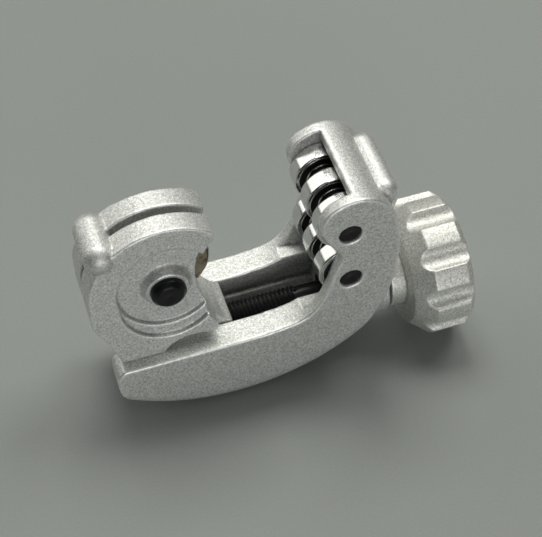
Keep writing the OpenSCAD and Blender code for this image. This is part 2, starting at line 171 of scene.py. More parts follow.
class StudioSettings(bpy.types.PropertyGroup):
    """Camera, lamps and floor."""

    target: FloatVectorProperty(
        name="Camera target", description="Point that the camera looks at",
        default=(-0.92 * MM, 0, 28.70 * MM), size=3, subtype="TRANSLATION", unit="LENGTH")
    distance: FloatProperty(
        name="Camera distance", description="Distance of the camera from its target",
        default=333.7 * MM, min=0.1, max=2, unit="LENGTH")
    azimuth: FloatProperty(
        name="Camera azimuth", description="Turn of the camera round the tool",
        default=math.radians(-16.39), subtype="ANGLE")
    elevation: FloatProperty(
        name="Camera elevation", description="Height of the camera as an angle",
        default=math.radians(50.92), subtype="ANGLE")
    roll: FloatProperty(
        name="Camera roll", description="Tilt of the picture",
        default=math.radians(-1.96), subtype="ANGLE")
    lens: FloatProperty(
        name="Lens", description="Focal length on a 36 mm wide sensor",
        default=99.63, min=20, max=200)
    floor: FloatVectorProperty(
        name="Floor", description="Colour of the floor",
        default=(0.318, 0.338, 0.327), size=3, min=0, max=1, subtype="COLOR")
    reach: FloatProperty(
        name="Lamp distance", description="Distance of the lamps from the tool",
        default=1.2, min=0.4, max=3, unit="LENGTH")
    key_power: FloatProperty(
        name="Key light", description="Power of the lamp above and behind the tool",
        default=6.6, min=0, max=100, subtype="POWER")
    side_power: FloatProperty(
        name="Side light", description="Power of the lamp above the knob",
        default=4.0, min=0, max=100, subtype="POWER")
    panel_power: FloatProperty(
        name="Bright panel", description="Power of the panel that the rollers mirror",
        default=3.6, min=0, max=100, subtype="POWER")
    dim_power: FloatProperty(
        name="Dim panel", description="Power of the panel that the rollers mirror on the right",
        default=0.5, min=0, max=100, subtype="POWER")
    front_power: FloatProperty(
        name="Front light", description="Power of the lamp above the front",
        default=0.8, min=0, max=100, subtype="POWER")
    fill_power: FloatProperty(
        name="Fill light", description="Power of the low lamp in front",
        default=4.9, min=0, max=100, subtype="POWER")
    sky: FloatProperty(
        name="Sky", description="Strength of the even light from all round",
        default=0.0, min=0, max=2)


class TubeCutterSettings(bpy.types.PropertyGroup):
    """All settings of the tube cutter."""

    casting: PointerProperty(type=CastingSettings)
    screw: PointerProperty(type=ScrewSettings)
    bearing: PointerProperty(type=BearingSettings)
    wheel: PointerProperty(type=WheelSettings)
    studio: PointerProperty(type=StudioSettings)


# Mesh helpers


def place_mesh(name, mesh, body, slot, stands_for=()):
    """Puts a mesh in the scene as a piece of one body, with its finish."""
    piece = bpy.data.objects.new(name, mesh)
    bpy.context.scene.collection.objects.link(piece)
    mesh.materials.append(finish(slot))
    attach(piece, body)
    if stands_for:
        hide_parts(*stands_for)
    return piece


def add_piece(name, bm, body, slot, stands_for=(), smooth_angle=35):
    """Turns a bmesh into a piece that rides on a body."""
    bmesh.ops.remove_doubles(bm, verts=bm.verts, dist=WELD)
    bmesh.ops.recalc_face_normals(bm, faces=bm.faces)
    mesh = bpy.data.meshes.new(name)
    bm.to_mesh(mesh)
    bm.free()
    mesh.shade_smooth()
    mesh.set_sharp_from_angle(angle=math.radians(smooth_angle))
    return place_mesh(name, mesh, body, slot, stands_for)


def write_mask(mesh, name, values):
    """Keeps one number for each point of a mesh, for the finishes to read."""
    mask = mesh.attributes.new(name, "FLOAT", "POINT")
    mask.data.foreach_set("value", np.array(values, dtype=np.float32))


def joined(parts):
    """One bmesh that holds several closed parts, each with its faces outward."""
    whole = bmesh.new()
    for part in parts:
        bmesh.ops.recalc_face_normals(part, faces=part.faces)
        holder = bpy.data.meshes.new("holder")
        part.to_mesh(holder)
        part.free()
        whole.from_mesh(holder)
        bpy.data.meshes.remove(holder)
    return whole


def mirrored(points):
    """The mirror images of an outline's points, in the order that goes on from them."""
    return [(-along, out) for along, out in reversed(points)]


def profile_chain(bm, points):
    """A chain of edges through (along, radius) points in the XZ plane."""
    verts = [bm.verts.new((along, 0, radius)) for along, radius in points]
    edges = [bm.edges.new(pair) for pair in zip(verts, verts[1:])]
    return verts + edges


def corner(along, radius, size, turn_from, turn_to, steps=4):
    """Points along an arc round (along, radius), between two angles in degrees."""
    turns = [turn_from + (turn_to - turn_from) * k / steps for k in range(steps + 1)]
    return [
        (along + size * math.cos(math.radians(a)), radius + size * math.sin(math.radians(a)))
        for a in turns
    ]


def turned_bmesh(points, steps=96):
    """A body turned about X from (along, radius) points."""
    bm = bmesh.new()
    geometry = profile_chain(bm, points)
    bmesh.ops.spin(
        bm, geom=geometry, cent=(0, 0, 0), axis=(1, 0, 0), dvec=(0, 0, 0),
        angle=2 * math.pi, steps=steps, use_merge=True)
    bmesh.ops.remove_doubles(bm, verts=bm.verts, dist=WELD)
    return bm


def place_along_y(bm, centre):
    """Moves a body turned about X onto an axis along Y through centre."""
    matrix = Matrix.Translation(centre) @ Matrix.Rotation(math.radians(90), 4, "Z")
    bmesh.ops.transform(bm, matrix=matrix, verts=bm.verts)
    return bm


def place_along_x(bm, centre):
    """Moves a body turned about X onto an axis along X through centre."""
    bmesh.ops.translate(bm, vec=centre, verts=bm.verts)


def span(node, axis):
    """Lowest and highest value of a CAD node along one axis."""
    low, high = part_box(node)
    return low[axis], high[axis]


def turned_size(node):
    """Radius, half width and centre of a CAD node that is turned about Y."""
    low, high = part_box(node)
    return (high.x - low.x) / 2, (high.y - low.y) / 2, (low + high) / 2


# Shader groups


def new_group(name, inputs, outputs):
    """A shader group with its named sockets, and its two end nodes."""
    group = bpy.data.node_groups.new(name, "ShaderNodeTree")
    for label, kind, default in inputs:
        socket = group.interface.new_socket(label, in_out="INPUT", socket_type=kind)
        socket.default_value = default
    for label, kind in outputs:
        group.interface.new_socket(label, in_out="OUTPUT", socket_type=kind)
    return group, group.nodes.new("NodeGroupInput"), group.nodes.new("NodeGroupOutput")


def math_node(tree, operation, first, second, clamp=False):
    """A Math node fed by sockets or plain numbers; its output socket."""
    node = tree.nodes.new("ShaderNodeMath")
    node.operation = operation
    node.use_clamp = clamp
    for index, value in enumerate((first, second)):
        if isinstance(value, (int, float)):
            node.inputs[index].default_value = value
        else:
            tree.links.new(value, node.inputs[index])
    return node.outputs[0]


def noise_node(tree, vector, scale, detail=2.0, roughness=0.5):
    """A noise texture on the given coordinates; its value socket."""
    node = tree.nodes.new("ShaderNodeTexNoise")
    tree.links.new(vector, node.inputs["Vector"])
    if isinstance(scale, (int, float)):
        node.inputs["Scale"].default_value = scale
    else:
        tree.links.new(scale, node.inputs["Scale"])
    node.inputs["Detail"].default_value = detail
    node.inputs["Roughness"].default_value = roughness
    return node.outputs["Fac"]


def stretch(tree, value, low, high, to_low=0.0, to_high=1.0):
    """Maps a value from one range to another, held inside it."""
    node = tree.nodes.new("ShaderNodeMapRange")
    tree.links.new(value, node.inputs["Value"])
    for label, number in zip(("From Min", "From Max", "To Min", "To Max"),
                             (low, high, to_low, to_high)):
        node.inputs[label].default_value = number
    return node.outputs["Result"]


def tint(tree, factor, first, second):
    """Mixes two colours or colour sockets by a factor socket."""
    node = tree.nodes.new("ShaderNodeMix")
    node.data_type = "RGBA"
    tree.links.new(factor, node.inputs["Factor"])
    for socket, value in ((node.inputs[6], first), (node.inputs[7], second)):
        if hasattr(value, "is_linked"):
            tree.links.new(value, socket)
        else:
            socket.default_value = (*value, 1)
    return node.outputs[2]


def sand_grain_group():
    """Sandy grain of a shot-blasted casting: a tone, sparkles and a height."""
    group, start, end = new_group(
        "Sand grain", [("Grain Size", "NodeSocketFloat", 0.3)],
        [("Tone", "NodeSocketFloat"), ("Sparkle", "NodeSocketFloat"),
         ("Height", "NodeSocketFloat")])
    place = group.nodes.new("ShaderNodeTexCoord").outputs["Object"]
    scale = math_node(group, "DIVIDE", 1 / MM, start.outputs["Grain Size"])
    fine = noise_node(group, place, scale, detail=2.0, roughness=0.6)
    coarse_scale = math_node(group, "MULTIPLY", scale, 0.35)
    coarse = noise_node(group, place, coarse_scale, detail=1.0)
    cells = group.nodes.new("ShaderNodeTexVoronoi")
    group.links.new(place, cells.inputs["Vector"])
    group.links.new(math_node(group, "MULTIPLY", scale, 1.1), cells.inputs["Scale"])
    flakes = group.nodes.new("ShaderNodeSeparateColor")
    group.links.new(cells.outputs["Color"], flakes.inputs[0])
    tone = math_node(group, "ADD", math_node(group, "MULTIPLY", fine, 0.7),
                     math_node(group, "MULTIPLY", coarse, 0.3))
    group.links.new(stretch(group, tone, 0.36, 0.64), end.inputs["Tone"])
    group.links.new(stretch(group, flakes.outputs[0], 0.8, 1.0), end.inputs["Sparkle"])
    group.links.new(tone, end.inputs["Height"])
    return group


def edge_and_crease_group():
    """Masks for painted highlights with wear on the rounded outer edges and for painted shade with
    grime in the grooves, broken up by a noise.
    """
    group, start, end = new_group(
        "Edge and crease masks", [("Amount", "NodeSocketFloat", 1.0)],
        [("Mask", "NodeSocketFloat"), ("Crease Shade And Grime", "NodeSocketFloat")])
    # On a casting, the edge mask brings painted highlights with wear
    edge = group.nodes.new("ShaderNodeAttribute")
    edge.attribute_name = "edge"
    place = group.nodes.new("ShaderNodeTexCoord").outputs["Object"]
    clouds = noise_node(group, place, scale=900, detail=3.0)
    patches = stretch(group, clouds, 0.35, 0.65, to_low=0.35)
    mask = math_node(group, "MULTIPLY", edge.outputs["Fac"], patches)
    group.links.new(
        math_node(group, "MULTIPLY", mask, start.outputs["Amount"], clamp=True),
        end.inputs["Mask"])
    # Groove mask: painted shade with grime in the creases
    groove = group.nodes.new("ShaderNodeAttribute")
    groove.attribute_name = "groove"
    group.links.new(math_node(group, "MULTIPLY", groove.outputs["Fac"], patches),
                    end.inputs["Crease Shade And Grime"])
    return group


def machining_group():
    """Fine turned lines along one direction and soft smudges."""
    group, start, end = new_group(
        "Machining", [("Line Scale", "NodeSocketFloat", 9000.0)],
        [("Lines", "NodeSocketFloat"), ("Smudge", "NodeSocketFloat")])
    place = group.nodes.new("ShaderNodeTexCoord").outputs["Object"]
    squeeze = group.nodes.new("ShaderNodeMapping")
    squeeze.inputs["Scale"].default_value = (0.04, 1.0, 0.04)
    group.links.new(place, squeeze.inputs["Vector"])
    lines = noise_node(group, squeeze.outputs[0], start.outputs["Line Scale"], detail=2.0)
    smudge = noise_node(group, place, scale=350, detail=3.0)
    group.links.new(stretch(group, lines, 0.3, 0.7), end.inputs["Lines"])
    group.links.new(stretch(group, smudge, 0.35, 0.7), end.inputs["Smudge"])
    return group


# Materials

MOULD_GRAIN = 0.12 * MM
SLEEVE_BLACK = (0.012, 0.012, 0.012)
BALL_STEEL = (0.8, 0.8, 0.82)
CAGE_BRONZE = (0.42, 0.33, 0.18)

groups = {}
materials = {}


def group_node(tree, name, **values):
    """Places a shared shader group, building it the first time."""
    makers = {"Sand grain": sand_grain_group, "Edge and crease masks": edge_and_crease_group,
              "Machining": machining_group}
    if name not in groups:
        groups[name] = makers[name]()
    node = tree.nodes.new("ShaderNodeGroup")
    node.node_tree = groups[name]
    for label, value in values.items():
        node.inputs[label.replace("_", " ")].default_value = value
    return node


def new_material(name, metallic=0.0, specular=0.5):
    """A new material, its node tree and its Principled shader."""
    material = bpy.data.materials.new(name)
    material.use_nodes = True
    tree = material.node_tree
    shader = tree.nodes["Principled BSDF"]
    shader.inputs["Metallic"].default_value = metallic
    shader.inputs["Specular IOR Level"].default_value = specular
    return material, tree, shader


def bump(tree, shader, height, distance, strength):
    """Feeds a height into the shader's normal."""
    node = tree.nodes.new("ShaderNodeBump")
    node.inputs["Distance"].default_value = distance
    node.inputs["Strength"].default_value = strength
    tree.links.new(height, node.inputs["Height"])
    tree.links.new(node.outputs[0], shader.inputs["Normal"])


def scaled(colour, factor):
    """A colour made lighter or darker."""
    return tuple(min(1.0, channel * factor) for channel in colour)


def turned_surface(tree, shader, lines, smooth, rough, depth, strength):
    """Feeds turned lines into a shader's roughness and normal."""
    roughness = stretch(tree, lines.outputs["Lines"], 0, 1, smooth, rough)
    tree.links.new(roughness, shader.inputs["Roughness"])
    bump(tree, shader, lines.outputs["Lines"], depth, strength)


def cast_silver(name, colour, grain):
    """Silver-painted casting with a sandy, sparkling skin, painted highlights with wear on its
    edges and painted shade with grime in its creases.
    """
    material, tree, shader = new_material(name, metallic=0.8, specular=0.5)
    sand = group_node(tree, "Sand grain", Grain_Size=grain / MM)
    wear = group_node(tree, "Edge and crease masks", Amount=1.0)
    skin = tint(tree, sand.outputs["Tone"], scaled(colour, 0.6), scaled(colour, 1.36))
    bright = tint(tree, sand.outputs["Sparkle"], skin, scaled(colour, 1.5))
    # Rounded edges made lighter: painted highlight, partly real wear
    edge_sheen_and_wear = tint(tree, wear.outputs["Mask"], bright, scaled(colour, 1.5))
    # Creases made much darker: painted shade, partly grime
    tree.links.new(tint(tree, wear.outputs["Crease Shade And Grime"], edge_sheen_and_wear, scaled(colour, 0.2)),
                   shader.inputs["Base Color"])
    dull = stretch(tree, sand.outputs["Tone"], 0, 1, 0.64, 0.5)
    polish = math_node(tree, "MULTIPLY", wear.outputs["Mask"], 0.2)
    tree.links.new(math_node(tree, "SUBTRACT", dull, polish), shader.inputs["Roughness"])
    bump(tree, shader, sand.outputs["Height"], distance=0.03 * MM, strength=0.8)
    return material


def black_steel(name, colour, roughness=0.3):
    """Blackened steel with faint turned lines and smudges."""
    material, tree, shader = new_material(name, specular=0.22)
    lines = group_node(tree, "Machining", Line_Scale=7000.0)
    tone = tint(tree, lines.outputs["Smudge"], colour, scaled(colour, 1.8))
    tree.links.new(tone, shader.inputs["Base Color"])
    turned_surface(tree, shader, lines, roughness - 0.08, roughness + 0.1,
                   depth=0.006 * MM, strength=0.6)
    return material


def polished_steel(name, colour):
    """Ground and polished bearing steel."""
    material, tree, shader = new_material(name, metallic=1.0)
    lines = group_node(tree, "Machining", Line_Scale=12000.0)
    tree.links.new(tint(tree, lines.outputs["Smudge"], colour, scaled(colour, 1.12)),
                   shader.inputs["Base Color"])
    turned_surface(tree, shader, lines, 0.14, 0.24, depth=0.002 * MM, strength=0.4)
    return material


def seal_rubber(name, colour):
    """Matte black seal with a faint mould grain."""
    material, tree, shader = new_material(name, specular=0.35)
    sand = group_node(tree, "Sand grain", Grain_Size=MOULD_GRAIN / MM)
    tree.links.new(tint(tree, sand.outputs["Tone"], colour, scaled(colour, 2.0)),
                   shader.inputs["Base Color"])
    shader.inputs["Roughness"].default_value = 0.55
    bump(tree, shader, sand.outputs["Height"], distance=0.01 * MM, strength=0.5)
    return material


def wheel_steel(name, settings):
    """Hardened steel with heat stains and a darker ground edge."""
    material, tree, shader = new_material(name, metallic=0.85)
    lines = group_node(tree, "Machining", Line_Scale=6000.0)
    wear = group_node(tree, "Edge and crease masks", Amount=3.0)
    place = tree.nodes.new("ShaderNodeTexCoord").outputs["Object"]
    clouds = noise_node(tree, place, scale=700, detail=3.0)
    stains = stretch(tree, clouds, 0.5, 0.62)
    plain = tint(tree, lines.outputs["Smudge"], scaled(settings.steel, 0.8),
                 scaled(settings.steel, 1.2))
    sides = tint(tree, stains, plain, settings.heat)
    tree.links.new(tint(tree, wear.outputs["Mask"], sides, settings.ground),
                   shader.inputs["Base Color"])
    turned_surface(tree, shader, lines, 0.28, 0.42, depth=0.004 * MM, strength=0.5)
    return material


def soft_bronze(name, colour):
    """Plain bronze with smudges."""
    material, tree, shader = new_material(name, metallic=0.9)
    lines = group_node(tree, "Machining", Line_Scale=8000.0)
    tree.links.new(tint(tree, lines.outputs["Smudge"], colour, scaled(colour, 1.3)),
                   shader.inputs["Base Color"])
    tree.links.new(stretch(tree, lines.outputs["Lines"], 0, 1, 0.3, 0.45),
                   shader.inputs["Roughness"])
    return material


def finish(name):
    """The material of one finish, built the first time."""
    if name not in materials:
        settings = bpy.context.scene.tube_cutter
        materials[name] = {
            "cast_silver": lambda: cast_silver(
                "Cast silver", settings.casting.paint, settings.casting.grain),
            "knob_silver": lambda: cast_silver(
                "Knob silver", settings.casting.knob_paint, settings.casting.grain),
            "black_steel": lambda: black_steel("Black steel", settings.screw.steel),
            "black_sleeve": lambda: black_steel(
                "Black sleeve", SLEEVE_BLACK, roughness=0.5),
            "black_seal": lambda: seal_rubber("Seal rubber", settings.bearing.seal),
            "bearing_chrome": lambda: polished_steel("Polished steel", settings.bearing.steel),
            "ball_steel": lambda: polished_steel("Ball steel", BALL_STEEL),
            "cage_bronze": lambda: soft_bronze("Cage bronze", CAGE_BRONZE),
            "wheel_steel": lambda: wheel_steel("Wheel steel", settings.wheel),
        }[name]()
    return materials[name]


# Pieces


def soften(bm, passes):
    """Evens out a mesh a few times, which rounds its edges."""
    for _ in range(passes):
        bmesh.ops.smooth_vert(
            bm, verts=bm.verts, factor=0.5, use_axis_x=True, use_axis_y=True, use_axis_z=True)


def rounded_copy(node, grid, passes, edge_and_crease_reach):
    """A softened copy of a CAD node, and how far each point stands out from its surroundings."""
    source = bpy.data.meshes.new(node + "_source")
    bm = bmesh.new()
    bm.from_mesh(frame["nodes"][node].data)
    bmesh.ops.remove_doubles(bm, verts=bm.verts, dist=CAD_WELD)
    bm.to_mesh(source)
    bm.free()
    helper = bpy.data.objects.new(node + "_source", source)
    bpy.context.scene.collection.objects.link(helper)
    remesh = helper.modifiers.new("Skin", "REMESH")
    remesh.mode = "VOXEL"
    remesh.voxel_size = grid
    remesh.adaptivity = 0
    depsgraph = bpy.context.evaluated_depsgraph_get()
    skin = bpy.data.meshes.new_from_object(helper.evaluated_get(depsgraph))
    bpy.data.objects.remove(helper)
    bm = bmesh.new()
    bm.from_mesh(skin)
    soften(bm, passes)
    bm.normal_update()
    shape = [(vert.co.copy(), vert.normal.copy()) for vert in bm.verts]
    soften(bm, edge_and_crease_reach)
    rise = [(co - vert.co).dot(normal) for vert, (co, normal) in zip(bm.verts, shape)]
    for vert, (co, _) in zip(bm.verts, shape):
        vert.co = co
    return bm, np.array(rise)


def add_casting(name, node, body, slot, grid):
    """A cast body with rounded edges that stands for its CAD node."""
    settings = bpy.context.scene.tube_cutter.casting
    least, edge_span, crease_shade_span = 0.02 * MM, 0.12 * MM, 0.14 * MM
    bm, rise = rounded_copy(node, grid, settings.rounding, settings.edge_and_crease_reach)
    mesh = bpy.data.meshes.new(name)
    bm.to_mesh(mesh)
    bm.free()
    mesh.shade_smooth()
    # Edge mask: painted highlight with wear on the convex edges
    write_mask(mesh, "edge", np.clip((rise - least) / edge_span, 0, 1))
    # Groove mask: painted shade with grime in creases and recesses
    write_mask(mesh, "groove", np.clip((-rise - least) / crease_shade_span, 0, 1))
    place_mesh(name, mesh, body, slot, [node])


class TUBECUTTER_OT_castings(bpy.types.Operator):
    """Frame, carriage and knob with softened cast edges"""

    bl_idname = "tubecutter.castings"
    bl_label = "Cast Bodies"

    def execute(self, context):
        settings = context.scene.tube_cutter.casting
        add_casting("frame_casting", "frame", "frame_body", "cast_silver",
                    settings.frame_grid)
        add_casting("carriage_casting", "carriage", "carriage_body", "cast_silver",
                    settings.carriage_grid)
        add_casting("knob_casting", "knob", "knob_body", "knob_silver", settings.knob_grid)
        return {"FINISHED"}


class TUBECUTTER_OT_feed_screw(bpy.types.Operator):
    """Feed screw with its thread, shank and ends"""

    bl_idname = "tubecutter.feed_screw"
    bl_label = "Feed Screw"

    def execute(self, context):
        settings = context.scene.tube_cutter.screw
        tip, tail = span("feed_screw", 0)
        low, high = span("feed_screw", 2)
        outside = (high - low) / 2
        root = outside - settings.depth
        plain_length = 7 * MM
        thread_end = screw_axis.x - plain_length
        self.add_thread(settings.pitch, tip, thread_end, root, outside)
        self.add_core(tip, thread_end, tail, root)
        return {"FINISHED"}

    def add_thread(self, pitch, tip, thread_end, root, outside):
        """The ridge of the thread, wound along the screw."""
        lead_in, run_out = 0.9 * MM, 1.2 * MM
        flank, crest = 0.42 * pitch, 0.1 * pitch
        turns = int((thread_end - tip - run_out) / pitch) - 1
        start = tip + lead_in
        peak = outside - HAIR
        steps = 36
        bm = bmesh.new()
        geometry = profile_chain(bm, [
            (start, root), (start + flank, peak), (start + flank + crest, peak),
            (start + pitch, root)])
        bmesh.ops.spin(
            bm, geom=geometry, cent=(0, 0, 0), axis=(1, 0, 0), dvec=(pitch / steps, 0, 0),
            angle=2 * math.pi * turns, steps=steps * turns, use_merge=False)
        place_along_x(bm, (0, 0, screw_axis.z))
        add_piece("feed_screw_thread", bm, "knob_body", "black_steel", smooth_angle=50)

    def add_core(self, tip, thread_end, tail, root):
        """The body of the screw under its thread, and its plain shank."""
        chamfer = 0.6 * MM
        shank = 2.6 * MM
        body = root + HAIR
        bm = turned_bmesh([
            (tip, 0), (tip, root - chamfer), (tip + chamfer, body), (thread_end - chamfer, body),
            (thread_end, shank), (tail, shank * 0.9), (tail, 0)], 64)
        place_along_x(bm, (0, 0, screw_axis.z))
        add_piece("feed_screw_core", bm, "knob_body", "black_steel", ["feed_screw"])


class TUBECUTTER_OT_cutter_wheel(bpy.types.Operator):
    """Cutter wheel with its sides and ground edge"""

    bl_idname = "tubecutter.cutter_wheel"
    bl_label = "Cutter Wheel"

    def execute(self, context):
        settings = context.scene.tube_cutter.wheel
        radius, half, _ = turned_size("cutter_wheel")
        bevel = radius - settings.edge_land
        bore_chamfer = 0.2 * MM
        blunt = 0.08 * MM
        step, step_half = 0.06 * MM, 0.96 * half
        side = [
            (-half, PIN_BORE + bore_chamfer), (-half, bevel - step), (-step_half, bevel),
            (-blunt, radius - HAIR)]
        outline = side + [(0, radius)] + mirrored(side)
        outline += [(half - bore_chamfer, PIN_BORE), (bore_chamfer - half, PIN_BORE), side[0]]
        bm = place_along_y(turned_bmesh(outline, 144), wheel_axis)
        piece = add_piece("cutter_wheel_blade", bm, "wheel_body", "wheel_steel",
                          ["cutter_wheel"])
        reach = [
            math.hypot(vert.co.x - wheel_axis.x, vert.co.z - wheel_axis.z)
            for vert in piece.data.vertices]
        write_mask(piece.data, "edge", [float(far > bevel - HAIR) for far in reach])
        return {"FINISHED"}


class TUBECUTTER_OT_pins(bpy.types.Operator):
    """Roller pins and wheel pin with chamfers and centre marks"""

    bl_idname = "tubecutter.pins"
    bl_label = "Pins"

    def execute(self, context):
        for row in ROWS:
            self.add_roller_pin(row + "_pin")
        self.add_wheel_pin()
        return {"FINISHED"}

    def add_roller_pin(self, node):
        """The plain pin of one row of rollers."""
        radius, half, centre = turned_size(node)
        mark_depth, mark = 0.25 * MM, 0.45 * MM
        chamfer_along, chamfer_out = 0.3 * MM, 0.4 * MM
        outline = [
            (-half + mark_depth, 0), (-half, mark), (-half, radius - chamfer_out),
            (-half + chamfer_along, radius)]
        outline += mirrored(outline)
        bm = place_along_y(turned_bmesh(outline, 64), centre)
        add_piece(node + "_turned", bm, "frame_body", "black_steel", [node])

    def add_wheel_pin(self):
        """The headed pin of the wheel, with the groove of its retaining ring."""
        face, tail = span("wheel_pin", 1)
        head, _, _ = turned_size("wheel_pin")
        shaft = 2.5 * MM
        seat = face + 2.2 * MM
        mark_depth, mark = 0.3 * MM, 0.5 * MM
        chamfer, soft = 0.95 * MM, 0.2 * MM
        groove = tail - 1.5 * MM
        groove_end = groove + 0.7 * MM
        neck = shaft - 0.45 * MM
        tail_chamfer = 0.3 * MM
        outline = [
            (face + mark_depth, 0), (face, mark), (face, head - chamfer - soft),
            (face + soft / 2, head - chamfer), (face + chamfer, head - soft / 2),
            (face + chamfer + soft, head), (seat, head), (seat, shaft), (groove, shaft),
            (groove, neck), (groove_end, neck), (groove_end, shaft), (tail - tail_chamfer, shaft),
            (tail, shaft - tail_chamfer), (tail, 0)]
        bm = place_along_y(turned_bmesh(outline, 72), (wheel_axis.x, 0, wheel_axis.z))
        add_piece("wheel_pin_turned", bm, "carriage_body", "black_steel", ["wheel_pin"])


class TUBECUTTER_OT_bearings(bpy.types.Operator):
    """Six bearing rollers with polished rings and recessed seals"""

    bl_idname = "tubecutter.bearings"
    bl_label = "Bearing Rollers"

    def execute(self, context):
        settings = context.scene.tube_cutter.bearing
        for row in ROWS:
            for place in PLACES:
                name = f"{row}_{place}"
                radius, half, centre = turned_size(name + "_outer_ring")
                shoulder, _, _ = turned_size(name + "_inner_ring")
                self.add_outer_ring(name, settings, radius, half, centre)
                self.add_inner_ring(name, shoulder, half, centre)
                self.add_seals(name, settings, shoulder, half, centre)
        return {"FINISHED"}

    def add_outer_ring(self, name, settings, radius, half, centre):
        """The polished outer ring: a bead at the lip, a flat face and a crowned rim."""
        soft, bead = settings.rim_round, settings.bead
        race_edge = 0.5 * MM
        crown, lean = 0.9 * MM, 20
        sine, cosine = math.sin(math.radians(lean)), math.cos(math.radians(lean))
        face = -half + HAIR
        turn_at = (face + soft, radius - crown * (1 - cosine) - soft * cosine)
        outline = [(-half + race_edge, RING_INSIDE)]
        outline += corner(-half + bead, RING_INSIDE + bead, bead, 270, 90, steps=6)
        outline += [(-half + bead, RING_INSIDE + 2.2 * bead), (face, RING_INSIDE + 3.4 * bead)]
        outline += corner(*turn_at, soft, 180, 90 + lean)
        crown_at = turn_at[0] - soft * sine + crown * sine
        outline += corner(crown_at, radius - crown, crown, 90 + lean, 90)[1:]
        outline += mirrored(outline)
        outline.append(outline[0])
        bm = place_along_y(turned_bmesh(outline, 96), centre)
        add_piece(name + "_outer_ring_turned", bm, name + "_roller", "bearing_chrome",
                  [name + "_outer_ring"], smooth_angle=28)

    def add_inner_ring(self, name, shoulder, half, centre):
        """The inner ring, which sits on the pin."""
        bore = 2.53 * MM
        bore_chamfer, lip = 0.2 * MM, 0.16 * MM
        ring = [
            (-half, bore + bore_chamfer), (-half, shoulder - lip), (-half + lip, shoulder)]
        ring += mirrored(ring)
        ring += [(half - bore_chamfer, bore), (-half + bore_chamfer, bore), ring[0]]
        bm = place_along_y(turned_bmesh(ring, 72), centre)
        add_piece(name + "_inner_ring_turned", bm, "frame_body", "bearing_chrome",
                  [name + "_inner_ring"], smooth_angle=28)

    def add_seals(self, name, settings, shoulder, half, centre):
        """The two dished seals of one bearing."""
        seal_back = half - 0.3 * MM
        inside = shoulder + 0.11 * MM
        outside = RING_INSIDE - HAIR
        bulge, dish, rim = 0.06 * MM, 0.08 * MM, 0.04 * MM
        bulge_top, bulge_foot, dish_from = 0.15 * MM, 0.32 * MM, 0.5 * MM
        dish_to, rim_top = 0.35 * MM, 0.2 * MM
        seals = []
        for side in (-1, 1):
            face = side * (half - settings.seal_recess)
            back = side * seal_back
            sunk = face - side * dish
            outline = [
                (back, inside), (face, inside), (face + side * bulge, inside + bulge_top),
                (face, inside + bulge_foot), (sunk, inside + dish_from),
                (sunk, outside - dish_to), (face + side * rim, outside - rim_top),
                (face, outside), (back, outside), (back, inside)]
            seals.append(place_along_y(turned_bmesh(outline, 72), centre))
        add_piece(name + "_seals_moulded", joined(seals), name + "_roller", "black_seal",
                  [name + "_seals"])


class TUBECUTTER_OT_small_parts(bpy.types.Operator):
    """Spacers between the bearings and the wheel pin's retaining ring"""

    bl_idname = "tubecutter.small_parts"
    bl_label = "Spacers and Pin Ring"

    def execute(self, context):
        for row in ROWS:
            self.add_spacers(row + "_spacers")
        self.add_pin_ring()
        return {"FINISHED"}

    def add_spacers(self, node):
        """The two sleeves between the three bearings of one pin."""
        radius, reach, centre = turned_size(node)
        bearing_half = 2.0 * MM
        chamfer = 0.25 * MM
        sleeves = []
        for side in (-1, 1):
            near, far = side * reach, side * bearing_half
            outline = [
                (near, PIN_BORE), (near, radius - chamfer), (near - side * chamfer, radius),
                (far + side * chamfer, radius), (far, radius - chamfer), (far, PIN_BORE),
                (near, PIN_BORE)]
            sleeves.append(place_along_y(turned_bmesh(outline, 64), centre))
        add_piece(node + "_turned", joined(sleeves), "frame_body", "black_sleeve", [node])

    def add_pin_ring(self):
        """The wheel pin's retaining ring, open on one side."""
        node = "wheel_pin_ring"
        near, far = span(node, 1)
        outside, _, _ = turned_size(node)
        inside = 2.12 * MM
        soft = 0.08 * MM
        bm = bmesh.new()
        geometry = profile_chain(bm, [
            (near, inside), (near, outside - soft), (near + soft, outside),
            (far - soft, outside), (far, outside - soft), (far, inside), (near, inside)])
        bmesh.ops.spin(
            bm, geom=geometry, cent=(0, 0, 0), axis=(1, 0, 0), dvec=(0, 0, 0),
            angle=math.radians(300), steps=60, use_merge=False)
        bmesh.ops.remove_doubles(bm, verts=bm.verts, dist=WELD)
        bmesh.ops.holes_fill(bm, edges=bm.edges, sides=8)
        place_along_y(bm, (wheel_axis.x, 0, wheel_axis.z))
        add_piece(node + "_open", bm, "carriage_body", "black_steel", [node])


class TUBECUTTER_OT_finishes(bpy.types.Operator):
    """Procedural finishes on the CAD pieces"""

    bl_idname = "tubecutter.finishes"
    bl_label = "Finishes"

    def execute(self, context):
        slots = {part["node"]: part["material_slot"] for part in frame["record"]["subparts"]}
        for node, piece in frame["nodes"].items():
            piece.data.materials.clear()
            piece.data.materials.append(finish(slots[node]))
        return {"FINISHED"}


